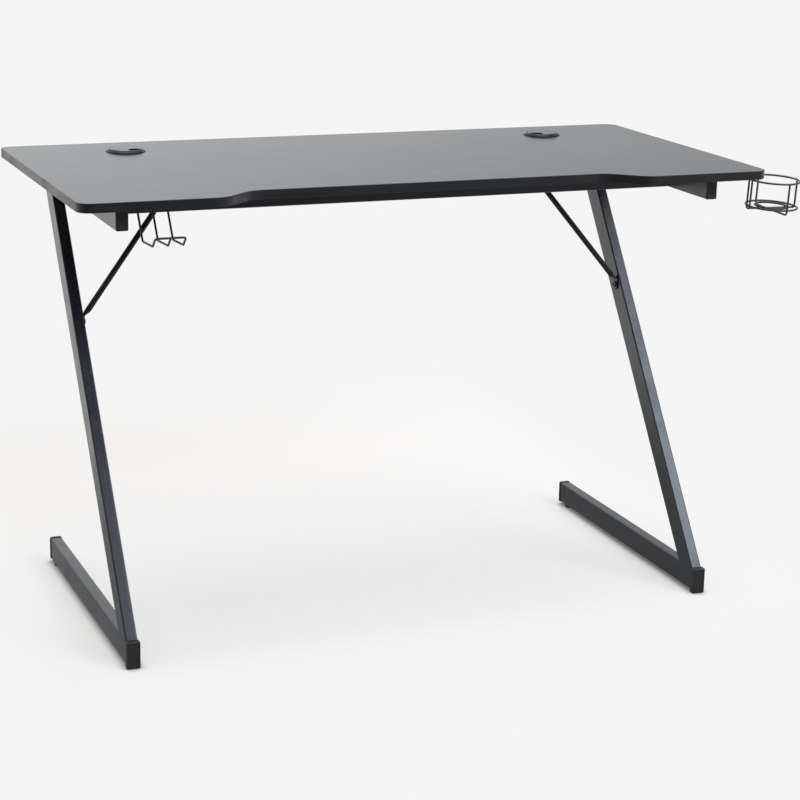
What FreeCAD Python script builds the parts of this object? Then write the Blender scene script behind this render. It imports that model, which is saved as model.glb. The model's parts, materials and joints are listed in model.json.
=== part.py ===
import FreeCAD, Part
import math
import os

from FreeCAD import Vector

# Desk with two Z-shaped tube frames, a waisted top, two cable grommets, a headset hook and a cup holder.
# X runs to the right, Y to the back and Z up. Sizes are in millimetres and the floor is at Z = 0.
# The pieces are laid out about the middle of the top and moved to the row's origin when they are saved.

# Top
TOP_WIDTH = 1200.0
TOP_DEPTH = 580.0
TOP_HEIGHT = 765.0
BOARD_THICKNESS = 15.0
CORNER_RADIUS = 22.0
EDGE_BAND = 1.2
EDGE_ROUND = 0.8
RECESS_DEPTH = 48.0
RECESS_WIDTH = 586.0
RECESS_RADIUS = 50.0
RECESS_ANGLE = 40.0

# Rectangular steel tube, used upright in rails, legs, feet and crossbars
TUBE_HEIGHT = 40.0
TUBE_WIDTH = 20.0
TUBE_WALL = 1.5
TUBE_CORNER = 2.5
TUBE_INNER_CORNER = 1.0

# Side frames
FRAME_SIDE_INSET = 70.0
RAIL_FRONT_INSET = 52.0
RAIL_REAR_INSET = 28.0
FOOT_FRONT_INSET = 17.0
FOOT_REAR_INSET = 16.0
FOOT_LIFT = 5.0
LEG_CAP_GAP = 0.5
LEG_RAIL_INSET = 10.0

# Plastic end caps
CAP_FACE = 2.5
CAP_PLUG_LENGTH = 14.0
CAP_PLUG_GAP = 0.2
CAP_EDGE_ROUND = 1.0
FOOT_REAR_FACE = 6.0
FOOT_REAR_LIP = 0.8
SLEEVE_LENGTH = 12.0
SLEEVE_GAP = 0.1
SLEEVE_SIDE_WALL = 1.2
SLEEVE_TOP_WALL = 1.0
SLEEVE_ROUND = 2.0
SLEEVE_PANEL_BORDER = 3.5
SLEEVE_PANEL_DEPTH = 0.6

# Levelling glides under the rear of the feet
GLIDE_REAR_INSET = 29.0
GLIDE_PAD_RADIUS = 9.0
GLIDE_PAD_CHAMFER = 1.0
GLIDE_SEAT_GAP = 0.3
GLIDE_STUD_RADIUS = 4.0
GLIDE_STUD_LENGTH = 22.0
GLIDE_STUD_CLEARANCE = 0.05
GLIDE_NUT_FLATS = 13.0
GLIDE_NUT_HEIGHT = 6.5

# Crossbars and their end plates
FRONT_CROSSBAR_SETBACK = 137.0
REAR_CROSSBAR_SETBACK = 139.0
PLATE_THICKNESS = 3.0
PLATE_LENGTH = 64.0
PLATE_MARGIN = 1.0
PLATE_CORNER = 4.0
PLATE_FRONT_LIP = 5.0
PLATE_BOLT_SETBACK = 10.0
PLATE_BOLT_SPACING = 20.0

# Machine bolts, rivet nuts and board inserts
BOLT_RADIUS = 3.0
BOLT_HOLE_GAP = 0.3
BOLT_HEAD_RADIUS = 5.5
BOLT_HEAD_HEIGHT = 2.2
BOLT_HEX_FLATS = 4.0
BOLT_HEX_DEPTH = 1.2
BOLT_END_GAP = 1.0
RIVET_NUT_RADIUS = 4.5
RIVET_NUT_LENGTH = 12.0
THREAD_GAP = 0.1
INSERT_RADIUS = 5.0
INSERT_LENGTH = 11.0
RAIL_BOLT_FRONT_SETBACK = 40.0
RAIL_BOLT_MIDDLE_SETBACK = 235.0
RAIL_BOLT_REAR_SETBACK = 95.0
RAIL_ACCESS_GAP = 1.0

# Braces, round bars with flattened ends
BRACE_RADIUS = 5.0
BRACE_DROP = 204.0
BRACE_REACH = 163.0
BRACE_LEG_OFFSET = 4.0
BRACE_TAB_THICKNESS = 2.5
BRACE_TAB_WIDTH = 15.0
BRACE_TAB_LENGTH = 20.0
BRACE_TAPER = 10.0

# Cable grommets
GROMMET_SIDE_INSET = 200.0
GROMMET_BACK_INSET = 98.0
GROMMET_HOLE_RADIUS = 30.0
GROMMET_HOLE_GAP = 0.3
GROMMET_FLANGE_RADIUS = 34.6
GROMMET_FLANGE_HEIGHT = 4.6
GROMMET_FLANGE_EDGE = 1.0
GROMMET_FLANGE_LAND = 1.2
GROMMET_FLANGE_ROUND = 0.5
GROMMET_BARREL_WALL = 2.0
GROMMET_BARREL_LENGTH = 20.0
GROMMET_LEDGE = 3.0
GROMMET_LEDGE_HEIGHT = 2.0
GROMMET_CAP_HEIGHT = 4.0
GROMMET_CAP_GAP = 0.3
GROMMET_CAP_ROUND = 0.8
GROMMET_SLOT_WIDTH = 24.0
GROMMET_SLOT_DEPTH = 17.0
LEFT_SLOT_ANGLE = -55.0
RIGHT_SLOT_ANGLE = -140.0

# Bent wire hook for a headset, under the top beside the left rail
HOOK_WIRE_RADIUS = 1.75
HOOK_RAIL_GAP = 34.0
HOOK_SPACING = 24.5
HOOK_MOUNT_REAR_INSET = 170.0
HOOK_MOUNT_LENGTH = 30.0
HOOK_DROP = 65.0
HOOK_LEAN = 44.0
HOOK_SHELF_LENGTH = 58.0
HOOK_SHELF_RISE = 3.0
HOOK_TIP_LENGTH = 15.5
HOOK_TIP_RISE = 15.0
HOOK_BEND = 5.0

# Wire cup holder beyond the right end of the top
CUP_WIRE_RADIUS = 1.75
CUP_RING_RADIUS = 45.0
CUP_BASE_RING_RADIUS = 29.0
CUP_EDGE_GAP = 7.0
CUP_FRONT_INSET = 66.7
CUP_DROP = 12.2
CUP_RING_SPACING = 46.5
CUP_HANGER_WIDTH = 9.5
CUP_LOOP_SHARE = 0.45
CUP_ARM_LENGTH = 62.0
CUP_BEND = 6.0
CUP_TURN_ANGLE = 2.0
CUP_SAG_ANGLE = 1.9
CUP_LEAN_ANGLE = 2.1
WELD_GAP = 0.05

# Screwed straps that hold the wire pieces to the underside of the top
STRAP_THICKNESS = 2.0
STRAP_WIDTH = 18.0
STRAP_OVERHANG = 8.0
STRAP_ROUND = 3.0
SCREW_RADIUS = 2.0
SCREW_LENGTH = 14.0
SCREW_HEAD_RADIUS = 4.0
SCREW_HEAD_HEIGHT = 2.4
SCREW_SLOT_WIDTH = 1.2
SCREW_SLOT_DEPTH = 1.0

# Derived places
SIDES = {"left": -1.0, "right": 1.0}
UNDERSIDE = TOP_HEIGHT - BOARD_THICKNESS
FRONT_EDGE = -TOP_DEPTH / 2
BACK_EDGE = TOP_DEPTH / 2
RAIL_BOTTOM = UNDERSIDE - TUBE_HEIGHT
RAIL_MIDDLE = UNDERSIDE - TUBE_HEIGHT / 2
RAIL_OUTER_X = TOP_WIDTH / 2 - FRAME_SIDE_INSET
RAIL_X = RAIL_OUTER_X - TUBE_WIDTH / 2
RAIL_INNER_X = RAIL_OUTER_X - TUBE_WIDTH
RAIL_FRONT = FRONT_EDGE + RAIL_FRONT_INSET
RAIL_REAR = BACK_EDGE - RAIL_REAR_INSET
FOOT_FRONT = FRONT_EDGE + FOOT_FRONT_INSET
FOOT_REAR = BACK_EDGE - FOOT_REAR_INSET
FOOT_TOP = FOOT_LIFT + TUBE_HEIGHT
FOOT_MIDDLE = FOOT_LIFT + TUBE_HEIGHT / 2
GLIDE_Y = FOOT_REAR - GLIDE_REAR_INSET
FRONT_CROSSBAR_Y = RAIL_FRONT + FRONT_CROSSBAR_SETBACK + TUBE_WIDTH / 2
REAR_CROSSBAR_Y = RAIL_REAR - REAR_CROSSBAR_SETBACK - TUBE_WIDTH / 2
BRACE_LOW_Z = RAIL_BOTTOM - BRACE_DROP
GROMMET_X = TOP_WIDTH / 2 - GROMMET_SIDE_INSET
GROMMET_Y = BACK_EDGE - GROMMET_BACK_INSET
HOOK_X = -RAIL_INNER_X + HOOK_RAIL_GAP + HOOK_SPACING
HOOK_WIRE_Z = UNDERSIDE - HOOK_WIRE_RADIUS
HOOK_MOUNT_Y = FRONT_EDGE + HOOK_MOUNT_REAR_INSET
CUP_UPRIGHT_RADIUS = CUP_RING_RADIUS + 2 * CUP_WIRE_RADIUS + WELD_GAP
CUP_X = TOP_WIDTH / 2 + CUP_EDGE_GAP + CUP_RING_RADIUS + CUP_WIRE_RADIUS
CUP_Y = FRONT_EDGE + CUP_FRONT_INSET
CUP_UPPER_Z = UNDERSIDE - CUP_DROP
CUP_LOWER_Z = CUP_UPPER_Z - CUP_RING_SPACING
CUP_SIDE_WIRE_Z = CUP_LOWER_Z - 2 * CUP_WIRE_RADIUS - WELD_GAP
CUP_CROSS_WIRE_Z = CUP_SIDE_WIRE_Z - 2 * CUP_WIRE_RADIUS - WELD_GAP
CUP_ARM_Z = UNDERSIDE - CUP_WIRE_RADIUS

X_AXIS = Vector(1, 0, 0)
Y_AXIS = Vector(0, 1, 0)
Z_AXIS = Vector(0, 0, 1)
UP = Z_AXIS
DOWN = Vector(0, 0, -1)


# Small helpers

def box(low, high):
    """Box between two opposite corners."""
    size = high - low
    return Part.makeBox(size.x, size.y, size.z, low)


def cylinder(radius, start, end):
    """Round bar between two points."""
    return Part.makeCylinder(radius, (end - start).Length, start, end - start)


def hexagon_bar(flats, start, axis, length):
    """Six-sided bar of a given width across flats."""
    corner = flats / 2 / math.cos(math.pi / 6)
    points = []
    for i in range(7):
        turn = math.pi / 3 * i
        points.append(Vector(corner * math.cos(turn), corner * math.sin(turn), 0))
    bar = Part.Face(Part.makePolygon(points)).extrude(Vector(0, 0, length))
    bar.Placement = FreeCAD.Placement(start, FreeCAD.Rotation(Z_AXIS, axis))
    return bar


def rounded_rectangle(width, height, radius):
    """Wire of a rounded rectangle in the XY plane, about its middle."""
    x, y = width / 2, height / 2
    bend = radius * (1 - math.sqrt(0.5))
    corners = [(x, y, 1, 1), (-x, y, -1, 1), (-x, -y, -1, -1), (x, -y, 1, -1)]
    ends = []
    arcs = []
    for cx, cy, sx, sy in corners:
        along_x = Vector(cx - sx * radius, cy, 0)
        along_y = Vector(cx, cy - sy * radius, 0)
        middle = Vector(cx - sx * bend, cy - sy * bend, 0)
        first, last = (along_y, along_x) if sx * sy > 0 else (along_x, along_y)
        arcs.append(Part.Arc(first, middle, last).toShape())
        ends.append((first, last))
    edges = []
    for i, arc in enumerate(arcs):
        edges.append(arc)
        edges.append(Part.LineSegment(ends[i][1], ends[(i + 1) % 4][0]).toShape())
    return Part.Wire(edges)


def rounded_bar(width, height, radius, start, axis, length, across):
    """Bar of rounded rectangular section; its width lies along the direction across."""
    wire = rounded_rectangle(width, height, radius)
    bar = Part.Face(wire).extrude(Vector(0, 0, length))
    up = axis.cross(across)
    turn = FreeCAD.Rotation(across, up, axis, "ZXY")
    bar.Placement = FreeCAD.Placement(start, turn)
    return bar


def tube(start, axis, length, across):
    """Hollow tube whose narrow side lies along the direction across."""
    outer = rounded_bar(TUBE_WIDTH, TUBE_HEIGHT, TUBE_CORNER, start, axis, length, across)
    inner = rounded_bar(TUBE_WIDTH - 2 * TUBE_WALL, TUBE_HEIGHT - 2 * TUBE_WALL, TUBE_INNER_CORNER,
                        start, axis, length, across)
    return outer.cut(inner)


def wire_path(points, bend):
    """Straight runs joined by tangent arcs of one radius."""
    edges = []
    start = points[0]
    for before, corner, after in zip(points, points[1:], points[2:]):
        back = (before - corner).normalize()
        ahead = (after - corner).normalize()
        half = back.getAngle(ahead) / 2
        reach = bend / math.tan(half)
        first = corner + back * reach
        last = corner + ahead * reach
        middle = corner + (back + ahead).normalize() * (bend / math.sin(half) - bend)
        edges.append(Part.LineSegment(start, first).toShape())
        edges.append(Part.Arc(first, middle, last).toShape())
        start = last
    edges.append(Part.LineSegment(start, points[-1]).toShape())
    return Part.Wire(edges)


def bent_wire(points, radius, bend):
    """Round wire along straight runs with bends between them."""
    path = wire_path(points, bend)
    circle = Part.Circle(points[0], points[1] - points[0], radius).toShape()
    return path.makePipeShell([Part.Wire(circle)], True, False)


def ring(centre, radius, wire_radius):
    """Round wire closed into a level ring."""
    return Part.makeTorus(radius, wire_radius, centre, UP)


def bolt(seat, axis, length):
    """Button-head bolt; seat is under the head and axis points along the shank."""
    head_top = seat - axis * BOLT_HEAD_HEIGHT
    head = cylinder(BOLT_HEAD_RADIUS, head_top, seat)
    crown = [e for e in head.Edges if (e.CenterOfMass - head_top).Length < BOLT_HEAD_HEIGHT / 10]
    head = head.makeFillet(BOLT_HEAD_HEIGHT / 2, crown)
    recess = hexagon_bar(BOLT_HEX_FLATS, head_top, axis, BOLT_HEX_DEPTH)
    return head.cut(recess).fuse(cylinder(BOLT_RADIUS, seat, seat + axis * length)).removeSplitter()


def bolt_hole(seat, axis, length):
    """Clearance hole for a bolt's shank."""
    return cylinder(BOLT_RADIUS + BOLT_HOLE_GAP, seat, seat + axis * length)


def threaded_sleeve(radius, start, axis, length):
    """Rivet nut or board insert, shown as a plain sleeve."""
    bore = cylinder(BOLT_RADIUS + THREAD_GAP, start, start + axis * length)
    return cylinder(radius, start, start + axis * length).cut(bore)


def wood_screw(seat):
    """Pan-head screw that points up into the board; seat is under its head."""
    head_bottom = seat + DOWN * SCREW_HEAD_HEIGHT
    head = cylinder(SCREW_HEAD_RADIUS, head_bottom, seat)
    rim = [e for e in head.Edges if (e.CenterOfMass - head_bottom).Length < SCREW_HEAD_HEIGHT / 10]
    head = head.makeFillet(SCREW_HEAD_HEIGHT / 2, rim)
    for length, width in ((SCREW_HEAD_RADIUS, SCREW_SLOT_WIDTH), (SCREW_SLOT_WIDTH, SCREW_HEAD_RADIUS)):
        reach = Vector(length / 2, width / 2, 0)
        head = head.cut(box(head_bottom - reach, head_bottom + reach + UP * SCREW_SLOT_DEPTH))
    return head.fuse(cylinder(SCREW_RADIUS, seat, seat + UP * SCREW_LENGTH)).removeSplitter()


def group(shapes):
    """Separate solids of one kind, kept together in one node."""
    return Part.makeCompound(shapes)


# Places that several pieces share

def crossbar_bolt_places():
    """Bolt seats on the end plates behind the crossbars, each with the direction of its shank."""
    places = []
    for side in SIDES.values():
        for bar_y in (FRONT_CROSSBAR_Y, REAR_CROSSBAR_Y):
            first = bar_y + TUBE_WIDTH / 2 + PLATE_BOLT_SETBACK
            for y in (first, first + PLATE_BOLT_SPACING):
                seat = Vector(side * (RAIL_INNER_X - PLATE_THICKNESS), y, RAIL_MIDDLE)
                places.append((seat, X_AXIS * side))
    return places


def rail_bolt_places():
    """Bolt seats inside the rails, on their upper walls."""
    along = [RAIL_FRONT + RAIL_BOLT_FRONT_SETBACK, RAIL_FRONT + RAIL_BOLT_MIDDLE_SETBACK,
             RAIL_REAR - RAIL_BOLT_REAR_SETBACK]
    return [Vector(side * RAIL_X, y, UNDERSIDE - TUBE_WALL) for side in SIDES.values() for y in along]


def leg_line():
    """Middle of the leg at the foot's top and at the rail's underside."""
    rise = RAIL_BOTTOM - FOOT_TOP
    front = FOOT_FRONT + SLEEVE_LENGTH + LEG_CAP_GAP
    rear = RAIL_REAR - LEG_RAIL_INSET
    slant = 0.0
    for _ in range(20):
        cut_length = TUBE_HEIGHT / math.cos(slant)
        slant = math.atan2(rear - front - cut_length, rise)
    return Vector(0, front + cut_length / 2, FOOT_TOP), Vector(0, rear - cut_length / 2, RAIL_BOTTOM)


def leg_y(height):
    """Middle of the slanting leg at a given height."""
    low, high = leg_line()
    return low.y + (high.y - low.y) * (height - low.z) / (high.z - low.z)


def brace_leg_bolt(side):
    """Bolt seat on the tab against the leg, and its direction."""
    height = BRACE_LOW_Z - BRACE_TAB_LENGTH / 2
    y = leg_y(height) - BRACE_LEG_OFFSET
    return Vector(side * (RAIL_INNER_X - BRACE_TAB_THICKNESS), y, height), X_AXIS * side


def brace_bar_bolt(side):
    """Bolt seat on the tab under the rear crossbar, and its direction."""
    x = RAIL_INNER_X - BRACE_REACH - BRACE_TAB_LENGTH / 2
    return Vector(side * x, REAR_CROSSBAR_Y, RAIL_BOTTOM - BRACE_TAB_THICKNESS), UP


def grommet_place(side):
    """Middle of a grommet on the top's surface."""
    return Vector(side * GROMMET_X, GROMMET_Y, TOP_HEIGHT)


def hook_screw_places():
    """Screw seats under the hook's strap, between its wires."""
    z = HOOK_WIRE_Z - HOOK_WIRE_RADIUS - STRAP_THICKNESS
    y = HOOK_MOUNT_Y - STRAP_WIDTH / 2
    return [Vector(HOOK_X + along * HOOK_SPACING / 2, y, z) for along in (-1, 1)]


def cup_strap_middle():
    """Middle of the cup holder's strap, at its lower face."""
    x = TOP_WIDTH / 2 - CUP_ARM_LENGTH + STRAP_WIDTH / 2 + STRAP_OVERHANG
    return Vector(x, CUP_Y, CUP_ARM_Z - CUP_WIRE_RADIUS - STRAP_THICKNESS)


def cup_screw_seats():
    """Screw seats under the cup holder's strap, outside its two arms, before the holder is turned."""
    reach = CUP_HANGER_WIDTH / 2 + CUP_WIRE_RADIUS + SCREW_HEAD_RADIUS
    return [cup_strap_middle() + Y_AXIS * (along * reach) for along in (-1, 1)]


def cup_screw_places():
    """Screw seats of the turned cup holder."""
    middle = Vector(CUP_X, CUP_Y, 0)
    turn = FreeCAD.Rotation(UP, CUP_TURN_ANGLE)
    return [middle + turn.multVec(seat - middle) for seat in cup_screw_seats()]


# Top

def top_outline(inset):
    """Plan of the top, a given distance inside its finished edge."""
    x, back, front = TOP_WIDTH / 2 - inset, BACK_EDGE - inset, FRONT_EDGE + inset
    radius = CORNER_RADIUS - inset
    bend = radius * (1 - math.sqrt(0.5))
    angle = math.radians(RECESS_ANGLE)
    sine, cosine = math.sin(angle), math.cos(angle)
    slope = (RECESS_DEPTH - 2 * RECESS_RADIUS * (1 - cosine)) / sine
    run = 2 * RECESS_RADIUS * sine + slope * cosine
    inner_centre = Vector(RECESS_WIDTH / 2, FRONT_EDGE + RECESS_DEPTH - RECESS_RADIUS, 0)
    outer_centre = Vector(RECESS_WIDTH / 2 + run, FRONT_EDGE + RECESS_RADIUS, 0)
    inner_radius = RECESS_RADIUS + inset
    outer_radius = RECESS_RADIUS - inset
    lean = Vector(sine, cosine, 0)
    half_lean = Vector(math.sin(angle / 2), math.cos(angle / 2), 0)

    right = [
        ("line", inner_centre + Y_AXIS * inner_radius),
        ("arc", inner_centre + half_lean * inner_radius, inner_centre + lean * inner_radius),
        ("line", outer_centre - lean * outer_radius),
        ("arc", outer_centre - half_lean * outer_radius, outer_centre - Y_AXIS * outer_radius),
        ("line", Vector(x - radius, front, 0)),
        ("arc", Vector(x - bend, front + bend, 0), Vector(x, front + radius, 0)),
        ("line", Vector(x, back - radius, 0)),
        ("arc", Vector(x - bend, back - bend, 0), Vector(x - radius, back, 0)),
    ]
    edges = []
    for mirror in (1, -1):
        point = Vector(0, FRONT_EDGE + RECESS_DEPTH + inset, 0)
        for kind, *rest in right:
            turned = [Vector(p.x * mirror, p.y, 0) for p in rest]
            if kind == "line":
                edges.append(Part.LineSegment(point, turned[0]).toShape())
            else:
                edges.append(Part.Arc(point, turned[0], turned[1]).toShape())
            point = turned[-1]
        edges.append(Part.LineSegment(point, Vector(0, back, 0)).toShape())
    return Part.Wire(Part.__sortEdges__(edges))


def top_slab(inset):
    """Slab of the board's thickness with the top's plan."""
    slab = Part.Face(top_outline(inset)).extrude(UP * BOARD_THICKNESS)
    slab.translate(UP * UNDERSIDE)
    return slab


def tabletop():
    """Board with its grommet holes, insert holes and pilot holes."""
    board = top_slab(EDGE_BAND)
    for side in SIDES.values():
        centre = grommet_place(side)
        board = board.cut(cylinder(GROMMET_HOLE_RADIUS, centre + DOWN * BOARD_THICKNESS, centre))
    for place in rail_bolt_places():
        mouth = Vector(place.x, place.y, UNDERSIDE)
        end = mouth + UP * (INSERT_LENGTH + BOLT_END_GAP)
        board = board.cut(cylinder(INSERT_RADIUS + THREAD_GAP, mouth, end))
    for seat in hook_screw_places() + cup_screw_places():
        end = seat + UP * (SCREW_LENGTH + BOLT_END_GAP)
        board = board.cut(cylinder(SCREW_RADIUS + THREAD_GAP, seat, end))
    return board.removeSplitter()


def edge_band():
    """Plastic strip glued round the board, its outer edges eased."""
    slab = top_slab(0)
    outer = [e for e in slab.Edges if e.BoundBox.ZLength < EDGE_ROUND / 10]
    return slab.makeFillet(EDGE_ROUND, outer).cut(top_slab(EDGE_BAND))


# Side frames

def rail(side):
    """Upper tube of a side frame, screwed under the board."""
    length = RAIL_REAR - RAIL_FRONT - 2 * CAP_FACE
    body = tube(Vector(side * RAIL_X, RAIL_FRONT + CAP_FACE, RAIL_MIDDLE), Y_AXIS, length, X_AXIS)
    for place in rail_bolt_places():
        body = body.cut(bolt_hole(place, UP, TUBE_WALL))
        below = Vector(place.x, place.y, RAIL_BOTTOM)
        body = body.cut(cylinder(BOLT_HEAD_RADIUS + RAIL_ACCESS_GAP, below, below + UP * TUBE_WALL * 2))
    for seat, axis in crossbar_bolt_places():
        wall = Vector(axis.x * RAIL_INNER_X, seat.y, seat.z)
        body = body.cut(cylinder(RIVET_NUT_RADIUS + THREAD_GAP, wall, wall + axis * TUBE_WALL * 2))
    return body


def leg(side):
    """Slanting tube, cut level where it is welded to the foot and to the rail."""
    low, high = leg_line()
    across = X_AXIS * side * RAIL_X
    axis = (high - low).normalize()
    start = low - axis * TUBE_HEIGHT + across
    body = tube(start, axis, (high - low).Length + 2 * TUBE_HEIGHT, X_AXIS)
    reach = Vector(TUBE_WIDTH, TOP_DEPTH, 0)
    slab = box(Vector(across.x, 0, FOOT_TOP) - reach, Vector(across.x, 0, RAIL_BOTTOM) + reach)
    body = body.common(slab)
    seat, direction = brace_leg_bolt(side)
    wall = Vector(side * RAIL_INNER_X, seat.y, seat.z)
    return body.cut(cylinder(RIVET_NUT_RADIUS + THREAD_GAP, wall, wall + direction * TUBE_WALL * 2))


def foot(side):
    """Lower tube of a side frame."""
    length = FOOT_REAR - FOOT_REAR_FACE - FOOT_FRONT - CAP_FACE
    body = tube(Vector(side * RAIL_X, FOOT_FRONT + CAP_FACE, FOOT_MIDDLE), Y_AXIS, length, X_AXIS)
    stud = Vector(side * RAIL_X, GLIDE_Y, 0)
    hole = cylinder(GLIDE_STUD_RADIUS + BOLT_HOLE_GAP, stud, stud + UP * FOOT_MIDDLE)
    return body.cut(hole)


# End caps

def plug_cap(end, outward, thickness=CAP_FACE, lip=0.0):
    """Cap with a plug inside the tube; end is the middle of its face, which overhangs by the lip."""
    face_start = end - outward * thickness
    face = rounded_bar(TUBE_WIDTH + 2 * lip, TUBE_HEIGHT + 2 * lip, TUBE_CORNER + lip,
                       face_start, outward, thickness, X_AXIS)
    rim = [e for e in face.Edges if abs((e.CenterOfMass - end).dot(outward)) < thickness / 10]
    face = face.makeFillet(CAP_EDGE_ROUND, rim)
    loss = 2 * (TUBE_WALL + CAP_PLUG_GAP)
    plug_start = face_start - outward * CAP_PLUG_LENGTH
    plug = rounded_bar(TUBE_WIDTH - loss, TUBE_HEIGHT - loss, TUBE_INNER_CORNER,
                       plug_start, outward, CAP_PLUG_LENGTH, X_AXIS)
    return face.fuse(plug).removeSplitter()


def sleeve_cap(side):
    """Cap over the front of a foot; its thick sole carries the desk."""
    half = TUBE_WIDTH / 2 + SLEEVE_GAP + SLEEVE_SIDE_WALL
    left, right = side * RAIL_X - half, side * RAIL_X + half
    top = FOOT_TOP + SLEEVE_TOP_WALL
    body = box(Vector(left, FOOT_FRONT, 0), Vector(right, FOOT_FRONT + SLEEVE_LENGTH, top))
    long_edges = [e for e in body.Edges if e.BoundBox.YLength > SLEEVE_LENGTH / 2]
    front_edges = [e for e in body.Edges if e.BoundBox.YMax < FOOT_FRONT + SLEEVE_LENGTH / 2]
    body = body.makeFillet(SLEEVE_ROUND, long_edges + front_edges)
    room_start = Vector(side * RAIL_X, FOOT_FRONT + CAP_FACE, FOOT_MIDDLE)
    room = rounded_bar(TUBE_WIDTH + 2 * SLEEVE_GAP, TUBE_HEIGHT + 2 * SLEEVE_GAP, TUBE_CORNER + SLEEVE_GAP,
                       room_start, Y_AXIS, SLEEVE_LENGTH, X_AXIS)
    border = Vector(SLEEVE_PANEL_BORDER, 0, SLEEVE_PANEL_BORDER)
    panel_low = Vector(left, FOOT_FRONT, 0) + border
    panel_high = Vector(right, FOOT_FRONT + SLEEVE_PANEL_DEPTH, top) - border
    return body.cut(room).cut(box(panel_low, panel_high))


# Levelling glides

def glide(side):
    """Turning pad with the stud that it is moulded on."""
    base = Vector(side * RAIL_X, GLIDE_Y, 0)
    seat = base + UP * (FOOT_LIFT - GLIDE_SEAT_GAP)
    pad = cylinder(GLIDE_PAD_RADIUS, base, seat)
    rim = [e for e in pad.Edges if e.BoundBox.ZMax < FOOT_LIFT / 4]
    pad = pad.makeChamfer(GLIDE_PAD_CHAMFER, rim)
    return pad.fuse(cylinder(GLIDE_STUD_RADIUS, seat, seat + UP * GLIDE_STUD_LENGTH)).removeSplitter()


def glide_nut(side):
    """Weld nut inside the foot that the glide's stud turns in."""
    start = Vector(side * RAIL_X, GLIDE_Y, FOOT_LIFT + TUBE_WALL)
    bore = cylinder(GLIDE_STUD_RADIUS + GLIDE_STUD_CLEARANCE, start, start + UP * GLIDE_NUT_HEIGHT)
    return hexagon_bar(GLIDE_NUT_FLATS, start, UP, GLIDE_NUT_HEIGHT).cut(bore)


# Crossbars

def crossbar(y):
    """Tube between the rails, up to the end plates."""
    reach = RAIL_INNER_X - PLATE_THICKNESS
    body = tube(Vector(-reach, y, RAIL_MIDDLE), X_AXIS, 2 * reach, Y_AXIS)
    if y == REAR_CROSSBAR_Y:
        for side in SIDES.values():
            seat, axis = brace_bar_bolt(side)
            wall = Vector(seat.x, seat.y, RAIL_BOTTOM)
            body = body.cut(cylinder(RIVET_NUT_RADIUS + THREAD_GAP, wall, wall + axis * TUBE_WALL * 2))
    return body


def end_plates(y):
    """Plates welded on the crossbar's ends, which reach back from it and are bolted to the rails."""
    plates = []
    middle_y = y - TUBE_WIDTH / 2 - PLATE_FRONT_LIP + PLATE_LENGTH / 2
    for side in SIDES.values():
        start = Vector(side * (RAIL_INNER_X - PLATE_THICKNESS), middle_y, RAIL_MIDDLE)
        plate = rounded_bar(PLATE_LENGTH, TUBE_HEIGHT - 2 * PLATE_MARGIN, PLATE_CORNER,
                            start, X_AXIS * side, PLATE_THICKNESS, Y_AXIS)
        for seat, axis in crossbar_bolt_places():
            if axis.x == side:
                plate = plate.cut(bolt_hole(seat, axis, PLATE_THICKNESS))
        plates.append(plate)
    return group(plates)


def crossbar_bolts():
    """Bolts from the end plates into the rails."""
    return group([bolt(seat, axis, PLATE_THICKNESS + RIVET_NUT_LENGTH - BOLT_END_GAP)
                  for seat, axis in crossbar_bolt_places()])


def crossbar_rivet_nuts():
    """Rivet nuts in the rails' inner walls."""
    return group([threaded_sleeve(RIVET_NUT_RADIUS, seat + axis * PLATE_THICKNESS, axis, RIVET_NUT_LENGTH)
                  for seat, axis in crossbar_bolt_places()])


# Board fixings

def rail_bolts():
    """Bolts up through the rails into the board, put in by the holes in the rails' lower walls."""
    length = TUBE_WALL + INSERT_LENGTH - BOLT_END_GAP
    return group([bolt(place, UP, length) for place in rail_bolt_places()])


def board_inserts():
    """Threaded inserts in the board's underside."""
    return group([threaded_sleeve(INSERT_RADIUS, Vector(place.x, place.y, UNDERSIDE), UP, INSERT_LENGTH)
                  for place in rail_bolt_places()])


# Braces

def slot_wire(centre, along, across, length, width):
    """Four-edged oval: half circles at the ends of a bar's section."""
    end = along * (length / 2 - width / 2)
    side = across * (width / 2)
    tip = along * (length / 2)
    return Part.Wire([
        Part.LineSegment(centre - end + side, centre + end + side).toShape(),
        Part.Arc(centre + end + side, centre + tip, centre + end - side).toShape(),
        Part.LineSegment(centre + end - side, centre - end - side).toShape(),
        Part.Arc(centre - end - side, centre - tip, centre - end + side).toShape(),
    ])


def round_wire(centre, along, across, radius):
    """Circle in four arcs that face the four edges of slot_wire."""
    wide = math.sqrt(0.5) * radius
    corners = [-along * wide + across * wide, along * wide + across * wide,
               along * wide - across * wide, -along * wide - across * wide]
    middles = [across * radius, along * radius, -across * radius, -along * radius]
    edges = []
    for i, middle in enumerate(middles):
        after = corners[(i + 1) % len(corners)]
        edges.append(Part.Arc(centre + corners[i], centre + middle, centre + after).toShape())
    return Part.Wire(edges)


def flat_tab(start, direction, normal):
    """Flattened end of a brace with a rounded tip and a bolt hole, lying under its bolt head."""
    across = Y_AXIS * (BRACE_TAB_WIDTH / 2)
    tip = start + direction * BRACE_TAB_LENGTH
    shoulder = start + direction * (BRACE_TAB_LENGTH - BRACE_TAB_WIDTH / 2)
    outline = Part.Wire([
        Part.LineSegment(start - across, shoulder - across).toShape(),
        Part.Arc(shoulder - across, tip, shoulder + across).toShape(),
        Part.LineSegment(shoulder + across, start + across).toShape(),
        Part.LineSegment(start + across, start - across).toShape(),
    ])
    tab = Part.Face(outline).extrude(normal * BRACE_TAB_THICKNESS)
    middle = start + direction * (BRACE_TAB_LENGTH / 2)
    return tab.cut(bolt_hole(middle, normal, BRACE_TAB_THICKNESS))


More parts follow.
